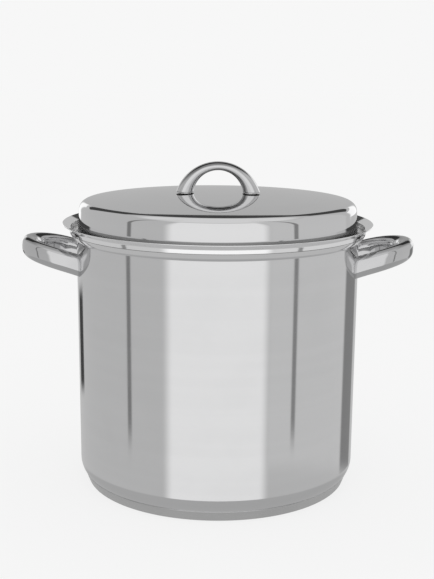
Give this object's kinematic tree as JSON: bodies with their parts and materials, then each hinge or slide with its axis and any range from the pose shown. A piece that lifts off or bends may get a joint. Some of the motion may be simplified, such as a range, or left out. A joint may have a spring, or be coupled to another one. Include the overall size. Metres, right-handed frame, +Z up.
{
  "type": "water bath canner",
  "caption": "Tall steel canning pot with sandwich base, loop handles, domed lid with arched handle, and a lift-out wire jar rack with folding bails.",
  "frame": {"origin": "centre of the face that the pot stands on, at the bottom of the whole object", "axes": "+Z up along the pot's centre line, +X through the right-hand loop handle, -Y towards a person facing the pot"},
  "size_m": [0.39, 0.3076, 0.3235],
  "materials": {
    "pot_steel": "polished stainless steel, faint vertical drawing marks",
    "core_aluminium": "bare rolled aluminium",
    "base_steel": "satin stainless steel, turned marks",
    "handle_steel": "buffed stainless steel",
    "lid_steel": "mirror polished stainless steel",
    "rack_wire": "bright drawn wire, resistance welded"
  },
  "bodies": {
    "pot": {"pot_bottom": "pot_steel", "pot_wall": "pot_steel", "pot_rim": "pot_steel", "base_core": "core_aluminium", "base_cap": "base_steel", "left_handle": "handle_steel", "right_handle": "handle_steel"},
    "lid": {"lid_shell": "lid_steel", "lid_handle": "handle_steel", "lid_handle_weld_pads": "handle_steel"},
    "rack": {"rack_base_ring": "rack_wire", "rack_cross_bars": "rack_wire", "rack_floor_wires": "rack_wire", "rack_centre_ring": "rack_wire", "rack_feet": "rack_wire", "rack_uprights": "rack_wire", "rack_top_ring": "rack_wire", "rack_dividers": "rack_wire", "rack_left_eyes": "rack_wire", "rack_right_eyes": "rack_wire"},
    "left_bail": {"rack_left_bail": "rack_wire"},
    "right_bail": {"rack_right_bail": "rack_wire"}
  },
  "joints": [
    {"name": "lid_lift", "type": "slide", "parent": "pot", "child": "lid", "axis": [0, 0, 1], "range_m": [0, 0.56]},
    {"name": "rack_lift", "type": "slide", "parent": "pot", "child": "rack", "axis": [0, 0, 1], "range_m": [0, 0.28]},
    {"name": "left_bail_fold", "type": "hinge", "parent": "rack", "child": "left_bail", "pos_m": [-0.12369, 0, 0.12135], "axis": [0, 1, 0], "range_deg": [0, 92]},
    {"name": "right_bail_fold", "type": "hinge", "parent": "rack", "child": "right_bail", "pos_m": [0.12369, 0, 0.12135], "axis": [0, -1, 0], "range_deg": [0, 92]}
  ],
  "couplings": [
    {"joint": "rack_lift", "follows": "lid_lift", "ratio": 0.5}
  ]
}
